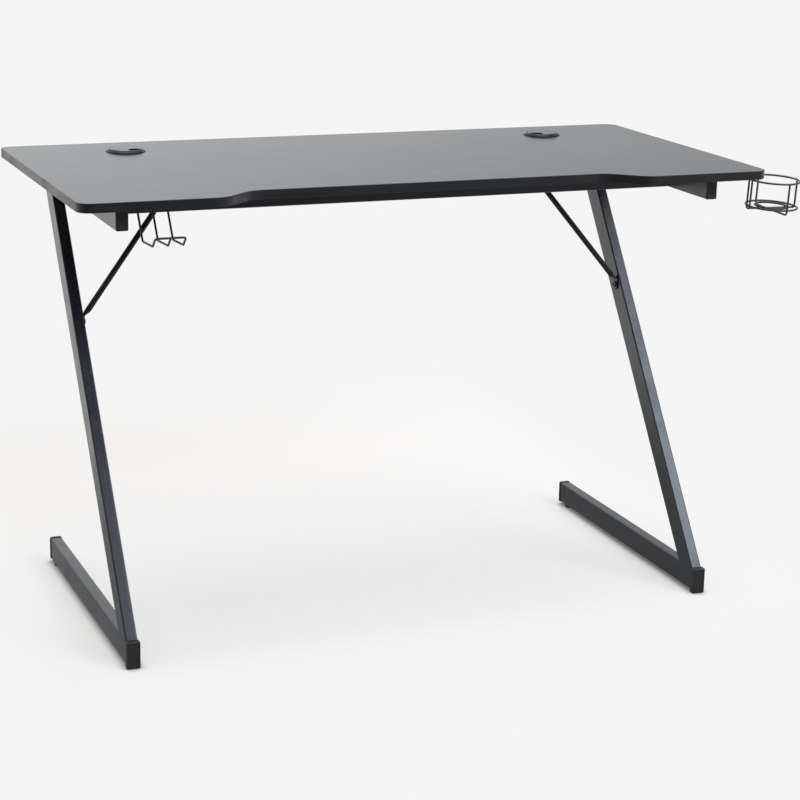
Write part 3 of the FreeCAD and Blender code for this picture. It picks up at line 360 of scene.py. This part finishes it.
def fixing_metal(name, dark, light, streaks, low_rough, high_rough, metal):
    """A plated or blacked metal with streaks across it and a patchy gloss."""
    material, tree, shader, place = start_material(name)
    turned = add_node(tree, "ShaderNodeMapping", {"Vector": place, "Scale": TURNED_STRETCH})
    line_noise = add_node(tree, "ShaderNodeTexNoise", {
        "Vector": turned.outputs[0], "Scale": streaks, "Detail": 4.0})
    lines = line_noise.outputs[0]
    hands = use_group(tree, handling_group, {"Vector": place, "Patches per Metre": 160.0})
    tree.links.new(mix_colours(tree, hands["Smudge"], dark, light), shader.inputs["Base Color"])
    gloss = spread(tree, lines, low_rough, high_rough, start=0.3, end=0.7)
    tree.links.new(gloss, shader.inputs["Roughness"])
    shader.inputs["Metallic"].default_value = metal
    add_bump(tree, shader, lines, strength=0.12, distance=0.0002)
    print("finish:", name)
    return material


# %% Metal of bolts, nuts and inserts
black_steel = fixing_metal(
    "blacked steel", (0.030, 0.030, 0.033, 1.0), (0.062, 0.060, 0.060, 1.0),
    streaks=420.0, low_rough=0.34, high_rough=0.50, metal=0.8)
zinc_steel = fixing_metal(
    "zinc plate", (0.46, 0.47, 0.47, 1.0), (0.64, 0.64, 0.61, 1.0),
    streaks=520.0, low_rough=0.26, high_rough=0.44, metal=1.0)
insert_brass = fixing_metal(
    "plain brass", (0.56, 0.41, 0.19, 1.0), (0.74, 0.57, 0.30, 1.0),
    streaks=520.0, low_rough=0.26, high_rough=0.42, metal=1.0)

# %% [markdown]
# Each CAD node says in the record which finish it takes. A loop gives every node its material, so that no
# piece is forgotten and a change of one finish reaches all the pieces that share it. The two braces then
# get the duller powder.

# %% Give every CAD piece its finish
FINISHES = {
    "black_laminate": laminate,
    "edge_plastic": edge_strip,
    "powder_coat": tube_powder,
    "wire_coat": wire_powder_painted_lighter,
    "cap_plastic": cap_plastic,
    "glide_plastic": glide_plastic,
    "grommet_plastic": grommet_plastic,
    "black_steel": black_steel,
    "zinc_steel": zinc_steel,
    "insert_brass": insert_brass,
}
for subpart in frame["record"]["subparts"]:
    piece = frame["nodes"][subpart["node"]]
    piece.data.materials.clear()
    piece.data.materials.append(FINISHES[subpart["material_slot"]])
for brace in ("brace_left", "brace_right"):
    frame["nodes"][brace].data.materials[0] = bar_powder

# %% [markdown]
# The frame is welded, and where tubes meet there is a bead that looks like a row of overlapping scales. It
# could be sculpted, but it is quicker as the welder makes it: one drop of metal, repeated along the joint
# with an Array, and melted together with a voxel Remesh. The back of the bead is cut off flat, because it
# lies inside the steel. One bead is modelled for each length and copied to its places.

# %% A bead of weld
BEAD_RADIUS = 0.0026
BEAD_PITCH = 0.0013
BEAD_VOXEL = 0.00045
BEAD_BACK = -0.0003
BEAD_SMOOTH = math.radians(50)
DROP_SHAPE = (0.52, 1.0, 0.80)
SHORT_BEAD_SHARE = 0.92
LONG_BEAD_SHARE = 0.94


def apply_modifier(piece, kind, **settings):
    """Adds a modifier to the active piece, sets it and applies it."""
    modifier = piece.modifiers.new(kind, kind)
    for name, value in settings.items():
        setattr(modifier, name, value)
    bpy.ops.object.modifier_apply(modifier=modifier.name)


def weld_bead(name, length):
    """A bead along X, centred on the origin, whose flat back lies just under Z = 0."""
    bpy.ops.object.select_all(action="DESELECT")
    drops = round((length - 2 * BEAD_RADIUS) / BEAD_PITCH)
    first = (-drops * BEAD_PITCH / 2, 0, 0)
    bpy.ops.mesh.primitive_uv_sphere_add(segments=16, ring_count=10, radius=BEAD_RADIUS, location=first)
    bead = bpy.context.object
    bead.name = name
    bpy.ops.object.transform_apply(location=True)
    bpy.ops.object.mode_set(mode="EDIT")
    bpy.ops.mesh.select_all(action="SELECT")
    bpy.ops.transform.resize(value=DROP_SHAPE)
    bpy.ops.object.mode_set(mode="OBJECT")
    apply_modifier(
        bead, "ARRAY", use_relative_offset=False, use_constant_offset=True,
        constant_offset_displace=(BEAD_PITCH, 0, 0), count=drops + 1)
    apply_modifier(bead, "REMESH", mode="VOXEL", voxel_size=BEAD_VOXEL)
    bpy.ops.object.mode_set(mode="EDIT")
    bpy.ops.mesh.select_all(action="SELECT")
    bpy.ops.mesh.bisect(plane_co=(0, 0, BEAD_BACK), plane_no=(0, 0, 1), use_fill=True, clear_inner=True)
    bpy.ops.object.mode_set(mode="OBJECT")
    bpy.ops.object.shade_smooth_by_angle(angle=BEAD_SMOOTH)
    return bead


tube_low, tube_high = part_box("leg_left")
tube_width = tube_high.x - tube_low.x
bar_low, bar_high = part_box("crossbar_front")
short_bead = weld_bead("short_bead", tube_width * SHORT_BEAD_SHARE)
long_bead = weld_bead("long_bead", (bar_high.z - bar_low.z) * LONG_BEAD_SHARE)
print("beads:", len(short_bead.data.polygons), "and", len(long_bead.data.polygons), "faces")

# %% [markdown]
# A copy of a bead is laid like a tile: it gets the middle of its place, the direction it runs in and the side
# it bulges to. Its place then goes into its mesh, and all the copies of one job are joined into one piece.

# %% Copy a bead to its place
def lay_bead(bead, middle, along, out):
    """Copies a bead to middle, running along one direction, with its back turned from the other."""
    side = out.cross(along).normalized()
    raised = along.cross(side).normalized()
    bpy.ops.object.select_all(action="DESELECT")
    bead.select_set(True)
    bpy.context.view_layer.objects.active = bead
    bpy.ops.object.duplicate(linked=False)
    copy = bpy.context.object
    turn = Matrix((along.normalized(), side, raised)).transposed().to_4x4()
    copy.matrix_world = Matrix.Translation(middle) @ turn
    bpy.ops.object.transform_apply(location=True, rotation=True, scale=True)
    return copy


def join_pieces(name, pieces, material):
    """Joins copies into one piece that rides on the desk."""
    bpy.ops.object.select_all(action="DESELECT")
    for piece in pieces:
        piece.select_set(True)
    bpy.context.view_layer.objects.active = pieces[0]
    if len(pieces) > 1:
        bpy.ops.object.join()
    joined = bpy.context.object
    joined.name = name
    joined.data.name = name
    joined.data.materials.clear()
    joined.data.materials.append(material)
    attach(joined, "desk")
    print(name, "has", len(joined.data.polygons), "faces")


# %% [markdown]
# On each side frame the leg stands on the foot and carries the rail. The side faces of these joints are
# filled with weld and ground flush before the powder goes on. The filling is a slim bar of three sides that
# lies in the groove over the tube's rounded corner: a box, halved along its diagonal and eased at its ends.

# %% A ground filling
GROOVE = 0.0025
FILLING_SMOOTH = math.radians(40)


def ground_filling(name, length):
    """A three-sided bar along X; its ground face is Z = 0 and the face under the leg is Y = 0."""
    bpy.ops.object.select_all(action="DESELECT")
    bpy.ops.mesh.primitive_cube_add(size=1.0, location=(0, -GROOVE / 2, -GROOVE / 2))
    bar = bpy.context.object
    bar.name = name
    bar.scale = (length, GROOVE, GROOVE)
    bpy.ops.object.transform_apply(location=True, scale=True)
    bpy.ops.object.mode_set(mode="EDIT")
    bpy.ops.mesh.select_all(action="SELECT")
    bpy.ops.mesh.bisect(plane_co=(0, -GROOVE, 0), plane_no=(0, 1, 1), use_fill=True, clear_inner=True)
    bpy.ops.mesh.select_all(action="DESELECT")
    bpy.ops.object.mode_set(mode="OBJECT")
    for edge in bar.data.edges:
        ends = [bar.data.vertices[i].co for i in edge.vertices]
        edge.select = all(abs(end.x) > length / 2 - GROOVE / 10 for end in ends)
    bpy.ops.object.mode_set(mode="EDIT")
    bpy.ops.mesh.select_mode(type="EDGE")
    bpy.ops.mesh.bevel(offset=GROOVE / 5, segments=2)
    bpy.ops.object.mode_set(mode="OBJECT")
    bpy.ops.object.shade_smooth_by_angle(angle=FILLING_SMOOTH)
    return bar


# %% [markdown]
# Beads are left only across the tube: behind the leg on the foot, and before and behind it under the rail.
# The leg's own end points give the places.

# %% Welds on the side frames
END_BAND = 0.0005


def leg_ends(node):
    """Front and rear Y of the leg's lower and upper ends."""
    low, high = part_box(node)
    points = [vertex.co for vertex in frame["nodes"][node].data.vertices]
    lower = [point.y for point in points if point.z < low.z + END_BAND]
    upper = [point.y for point in points if point.z > high.z - END_BAND]
    return min(lower), max(lower), min(upper), max(upper)


def frame_welds(side):
    """The three beads and four fillings of one side frame, as one piece."""
    low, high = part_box("leg_" + side)
    middle_x = (low.x + high.x) / 2
    foot_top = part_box("foot_" + side)[1].z
    rail_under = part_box("rail_" + side)[0].z
    lower_front, lower_rear, upper_front, upper_rear = leg_ends("leg_" + side)
    across = Vector((1, 0, 0))
    beads = [
        lay_bead(short_bead, Vector((middle_x, lower_rear, foot_top)), across, Vector((0, 0, 1))),
        lay_bead(short_bead, Vector((middle_x, upper_front, rail_under)), across, Vector((0, 0, -1))),
        lay_bead(short_bead, Vector((middle_x, upper_rear, rail_under)), across, Vector((0, 0, -1))),
    ]
    filling = ground_filling("filling", lower_rear - lower_front)
    for face_x, out in ((low.x, -1), (high.x, 1)):
        outward = Vector((out, 0, 0))
        below = Vector((face_x, (lower_front + lower_rear) / 2, foot_top))
        above = Vector((face_x, (upper_front + upper_rear) / 2, rail_under))
        beads.append(lay_bead(filling, below, Vector((0, out, 0)), outward))
        beads.append(lay_bead(filling, above, Vector((0, -out, 0)), outward))
    bpy.data.objects.remove(filling)
    join_pieces("frame_welds_" + side, beads, tube_powder)


for side in ("left", "right"):
    frame_welds(side)

# %% [markdown]
# Each crossbar ends on a plate, and a bead runs down its front and its back there.

# %% Beads on the crossbars
def crossbar_welds(bar):
    """The four beads of one crossbar, as one piece."""
    low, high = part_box(bar)
    middle = (low + high) / 2
    upright = Vector((0, 0, 1))
    beads = []
    for plate_x, inward in ((low.x, 1), (high.x, -1)):
        out = Vector((inward, 0, 0))
        beads.append(lay_bead(long_bead, Vector((plate_x, low.y, middle.z)), upright, out))
        beads.append(lay_bead(long_bead, Vector((plate_x, high.y, middle.z)), upright, out))
    join_pieces(bar + "_welds", beads, tube_powder)


for bar in ("crossbar_front", "crossbar_rear"):
    crossbar_welds(bar)
for pattern in (short_bead, long_bead):
    bpy.data.objects.remove(pattern)

# %% [markdown]
# The basket of the cup holder hangs a little askew, so the places of its welds are reckoned along its own
# directions: up through the two rings, right to the side wire and back across them.

# %% Directions of the cup holder
WIRE_RADIUS = 0.00175


def box_middle(node):
    """Middle of a node's box."""
    low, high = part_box(node)
    return (low + high) / 2


upper_middle = box_middle("cup_upper_ring")
lower_middle = box_middle("cup_lower_ring")
base_middle = box_middle("cup_base_ring")
cup_up = (upper_middle - lower_middle).normalized()
side_points = [vertex.co - upper_middle for vertex in frame["nodes"]["cup_side_wire"].data.vertices]
side_end = [point for point in side_points if point.dot(cup_up) > -WIRE_RADIUS / 4]
side_middle = sum(side_end, Vector()) / len(side_end)
cup_right = (side_middle - cup_up * side_middle.dot(cup_up)).normalized()
cup_back = cup_up.cross(cup_right)
upright_radius = side_middle.dot(cup_right)
base_low, base_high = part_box("cup_base_ring")
base_radius = (base_high.y - base_low.y) / 2 - WIRE_RADIUS
print("cup holder's uprights stand", round(upright_radius * 1000, 2), "mm from its middle")

# %% [markdown]
# Wires are pressed together hot where they cross, and the joint swells into a small soft lump. One lump is
# made from a sphere that is pinched at its waist and smoothed.

# %% A resistance weld on wire
LUMP_RADIUS = WIRE_RADIUS * 1.25
LUMP_SHAPE = (0.80, 1.0, 1.05)
WAIST_BAND = 0.30
WAIST_PINCH = (0.90, 0.90, 1.0)


def wire_weld(name, radius):
    """A lump along Z, pinched at its waist, that wraps the touching line of two wires."""
    bpy.ops.object.select_all(action="DESELECT")
    bpy.ops.mesh.primitive_uv_sphere_add(segments=16, ring_count=12, radius=radius, location=(0, 0, 0))
    lump = bpy.context.object
    lump.name = name
    bpy.ops.object.mode_set(mode="EDIT")
    bpy.ops.mesh.select_all(action="DESELECT")
    bpy.ops.object.mode_set(mode="OBJECT")
    for vertex in lump.data.vertices:
        vertex.select = abs(vertex.co.z) < radius * WAIST_BAND
    bpy.ops.object.mode_set(mode="EDIT")
    bpy.ops.transform.resize(value=WAIST_PINCH)
    bpy.ops.mesh.select_all(action="SELECT")
    bpy.ops.transform.resize(value=LUMP_SHAPE)
    bpy.ops.mesh.vertices_smooth(factor=0.5, repeat=2)
    bpy.ops.object.mode_set(mode="OBJECT")
    bpy.ops.object.shade_smooth()
    return lump


lump = wire_weld("wire_lump", LUMP_RADIUS)
print("lump:", len(lump.data.polygons), "faces for wire of", WIRE_RADIUS * 2000, "mm")

# %% [markdown]
# The lump is copied to every crossing of the cup holder: each upright against both rings, and the wires
# under the base ring. The hanger stands on two uprights side by side.

# %% Welds of the cup holder
HANGER_WIDTH = 0.0095

hanger_spread = math.degrees(math.asin(HANGER_WIDTH / 2 / upright_radius))
upright_angles = [0.0, 90.0, -90.0, 180.0 - hanger_spread, 180.0 + hanger_spread]
lumps = []
for angle in upright_angles:
    turn = math.radians(angle)
    outward = cup_right * math.cos(turn) + cup_back * math.sin(turn)
    for ring_middle in (upper_middle, lower_middle):
        touch = ring_middle + outward * (upright_radius - WIRE_RADIUS)
        lumps.append(lay_bead(lump, touch, outward.cross(cup_up), outward))
for reach in (base_radius, -base_radius):
    touch = base_middle + cup_right * reach - cup_up * WIRE_RADIUS
    lumps.append(lay_bead(lump, touch, cup_right, cup_up))
wires_cross = base_middle - cup_up * 3 * WIRE_RADIUS
lumps.append(lay_bead(lump, wires_cross, cup_right, cup_up))
join_pieces("cup_holder_welds", lumps, wire_powder_painted_lighter)

# %% [markdown]
# The headset hook is one long wire bent into two arms and a tip bar, with a shorter arm welded to the
# middle of the bar. A single lump closes that joint.

# %% Weld of the headset hook
TIP_BAND = 0.006

middle_points = [vertex.co for vertex in frame["nodes"]["hook_middle_wire"].data.vertices]
tip_y = min(point.y for point in middle_points)
tip_points = [point for point in middle_points if point.y < tip_y + TIP_BAND]
tip_top = max(tip_points, key=lambda point: point.z)
hook_middle_x = sum(corner.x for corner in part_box("hook_middle_wire")) / 2
hook_joint = Vector((hook_middle_x, tip_top.y, tip_top.z))
hook_lump = lay_bead(lump, hook_joint, Vector((1, 0, 0)), Vector((0, 0, 1)))
join_pieces("hook_weld", [hook_lump], wire_powder_painted_lighter)
bpy.data.objects.remove(lump)

# %% [markdown]
# A satin black desk mirrors the studio floor. The side of the studio behind the camera is unlit, so for what
# mirrors it the floor's glow is painted: a painted reflection of a dark floor there, growing brighter to the
# back and to the right, with painted shade under the desk. These nodes work out that painted brightness
# from the place on the floor.

# %% Floor: painted light that mirrors see
FLOOR_WIDTH = 160.0
MIRROR_FRONT = 0.07
MIRROR_MIDDLE = 0.62
MIRROR_BACK_GAIN = 0.43
MIRROR_RIGHT_GAIN = 0.35
PAINTED_SHADE_UNDER_DESK = 0.60

bpy.ops.object.select_all(action="DESELECT")
bpy.ops.mesh.primitive_plane_add(size=FLOOR_WIDTH, location=(0, 0, 0))
floor = bpy.context.object
floor.name = "floor"
floor_finish = bpy.data.materials.new("studio floor")
floor_finish.use_nodes = True
floor.data.materials.append(floor_finish)
tree = floor_finish.node_tree
tree.nodes.clear()
place = tree.nodes.new("ShaderNodeTexCoord").outputs["Object"]
spot = add_node(tree, "ShaderNodeSeparateXYZ", {0: place}).outputs
# Painted reflection of a lit studio floor: dark at the front, brighter to the back and to the right.
front_mirror = spread(tree, spot["Y"], MIRROR_FRONT, MIRROR_MIDDLE, start=-2.6, end=0.4)
back_mirror = spread(tree, spot["Y"], 0.0, MIRROR_BACK_GAIN, start=0.25, end=1.2)
right_mirror = spread(tree, spot["X"], 0.0, MIRROR_RIGHT_GAIN, start=0.8, end=2.4)
open_mirror = calculate(tree, "ADD", front_mirror, calculate(tree, "MAXIMUM", back_mirror, right_mirror))
distance = add_node(tree, "ShaderNodeVectorMath", {0: place}, operation="LENGTH").outputs["Value"]
# Painted shade: the glow that mirrors see is dimmed under the desk.
painted_desk_shade = spread(tree, distance, PAINTED_SHADE_UNDER_DESK, 1.0, start=0.5, end=1.5)
painted_mirror_light = calculate(tree, "MULTIPLY", open_mirror, painted_desk_shade)
print("floor:", FLOOR_WIDTH, "m across")

# %% [markdown]
# To the camera the floor is a pale grey. Under the desk two fifths of it are paint under the lamps, so the
# desk's shadow falls on it softly. Further off, and before and beside the desk, it fades to an even glow of
# the same grey, so that no horizon shows. Where a foot nearly touches it, a contact shadow is painted into
# the glow, darker where something hangs close above, so that the desk stands firmly. Rays that only carry
# light see plain paint everywhere.

# %% Floor: glow and its share
FLOOR_GREY = 0.913
CONTACT_REACH = 0.018
CONTACT_SHADOW_SHARE = 0.2
NEAR_GLOW = 0.60

overhang = add_node(tree, "ShaderNodeAmbientOcclusion", {"Distance": CONTACT_REACH}, samples=16)
# Painted contact shadow: the glow darkens where something hangs close above the floor.
glow_with_painted_contact_shadow = spread(tree, overhang.outputs["AO"], FLOOR_GREY * CONTACT_SHADOW_SHARE, FLOOR_GREY, start=0.35)
far_share = spread(tree, distance, NEAR_GLOW, 1.0, start=0.75, end=1.7)
front_share = spread(tree, spot["Y"], 1.0, NEAR_GLOW, start=-0.40, end=-0.20)
off_middle = calculate(tree, "ABSOLUTE", calculate(tree, "SUBTRACT", spot["X"], top_middle.x))
side_share = spread(tree, off_middle, NEAR_GLOW, 1.0, start=0.52, end=0.76)
edge_share = calculate(tree, "MAXIMUM", front_share, side_share)
camera_share = calculate(tree, "MAXIMUM", far_share, edge_share)
print("floor grey:", FLOOR_GREY)

# %% Floor: paint and glow together
FLOOR_PAINT = (0.905, 0.870, 0.835, 1.0)
WHITE = (1.0, 1.0, 1.0, 1.0)

rays = tree.nodes.new("ShaderNodeLightPath").outputs
floor_glow = mix_values(tree, rays["Is Glossy Ray"], glow_with_painted_contact_shadow, painted_mirror_light)
glow_share = mix_values(tree, rays["Is Glossy Ray"], camera_share, 1.0)
seen = calculate(tree, "MAXIMUM", rays["Is Camera Ray"], rays["Is Glossy Ray"])
seen_through = calculate(tree, "MAXIMUM", seen, rays["Is Transmission Ray"])
seen_glow = calculate(tree, "MULTIPLY", glow_share, seen_through)
paint = add_node(tree, "ShaderNodeBsdfDiffuse", {"Color": FLOOR_PAINT})
glow = add_node(tree, "ShaderNodeEmission", {"Color": WHITE, "Strength": floor_glow})
floor_mix = add_node(tree, "ShaderNodeMixShader", {0: seen_glow, 1: paint.outputs[0], 2: glow.outputs[0]})
add_node(tree, "ShaderNodeOutputMaterial", {"Surface": floor_mix.outputs[0]})
print("floor finish:", floor_finish.name)

# %% [markdown]
# A satin black desk is drawn by what it reflects. The walls of the studio are brightest behind the desk and
# to its left, darker to its right and darkest behind the camera. The world's colour follows the direction
# of a ray, which is enough for such soft walls. Rays from the camera see the floor's pale grey all round.

# %% Studio walls
WALL_FRONT = 0.11
WALL_BACK = 1.22
WALL_RIGHT_SHARE = 0.45
WALL_TINT = (0.97, 0.985, 1.0, 1.0)

world = bpy.data.worlds.new("studio walls")
bpy.context.scene.world = world
world.use_nodes = True
tree = world.node_tree
tree.nodes.clear()
gaze = tree.nodes.new("ShaderNodeTexCoord").outputs["Generated"]
direction = add_node(tree, "ShaderNodeSeparateXYZ", {0: gaze}).outputs
back_light = spread(tree, direction["Y"], WALL_FRONT, WALL_BACK, start=-0.6, end=0.55)
right_dark = spread(tree, direction["X"], 1.0, WALL_RIGHT_SHARE, start=0.10, end=0.75)
wall_light = calculate(tree, "MULTIPLY", back_light, right_dark)
rays = tree.nodes.new("ShaderNodeLightPath").outputs
wall = add_node(tree, "ShaderNodeBackground", {"Color": WALL_TINT, "Strength": wall_light})
backdrop = add_node(tree, "ShaderNodeBackground", {"Color": WHITE, "Strength": FLOOR_GREY})
walls = add_node(tree, "ShaderNodeMixShader", {
    0: rays["Is Camera Ray"], 1: wall.outputs[0], 2: backdrop.outputs[0]})
add_node(tree, "ShaderNodeOutputWorld", {"Surface": walls.outputs[0]})
print("walls ready")

# %% [markdown]
# Two softboxes light the desk: a large one overhead, which makes the soft shadow under the top, and one at
# the front right, which slides a blue-grey sheen down the fronts of the legs.

# %% Softboxes
def softbox(name, place, aim, width, depth, power, colour):
    """An area lamp that looks at a point."""
    bpy.ops.object.light_add(type="AREA", location=place)
    lamp = bpy.context.object
    lamp.name = name
    lamp.rotation_euler = (Vector(aim) - Vector(place)).to_track_quat("-Z", "Y").to_euler()
    lamp.data.shape = "RECTANGLE"
    lamp.data.size = width
    lamp.data.size_y = depth
    lamp.data.energy = power
    lamp.data.color = colour
    print(name, "of", power, "W")


softbox(
    "overhead_softbox", place=(0.0, 0.1, 3.3), aim=(0.0, 0.1, 0.0),
    width=3.2, depth=2.6, power=50.0, colour=(1.0, 1.0, 1.0))
softbox(
    "front_right_softbox", place=(1.69, -2.45, 2.49), aim=(0.2, 0.0, 0.3),
    width=2.5, depth=1.6, power=92.0, colour=(0.82, 0.91, 1.0))

# %% [markdown]
# The picture is drawn with the Standard view transform. The visual desk must stay
# inside the box of the CAD desk.

# %% View transform
bpy.context.scene.view_settings.view_transform = "Standard"
bpy.context.view_layer.update()
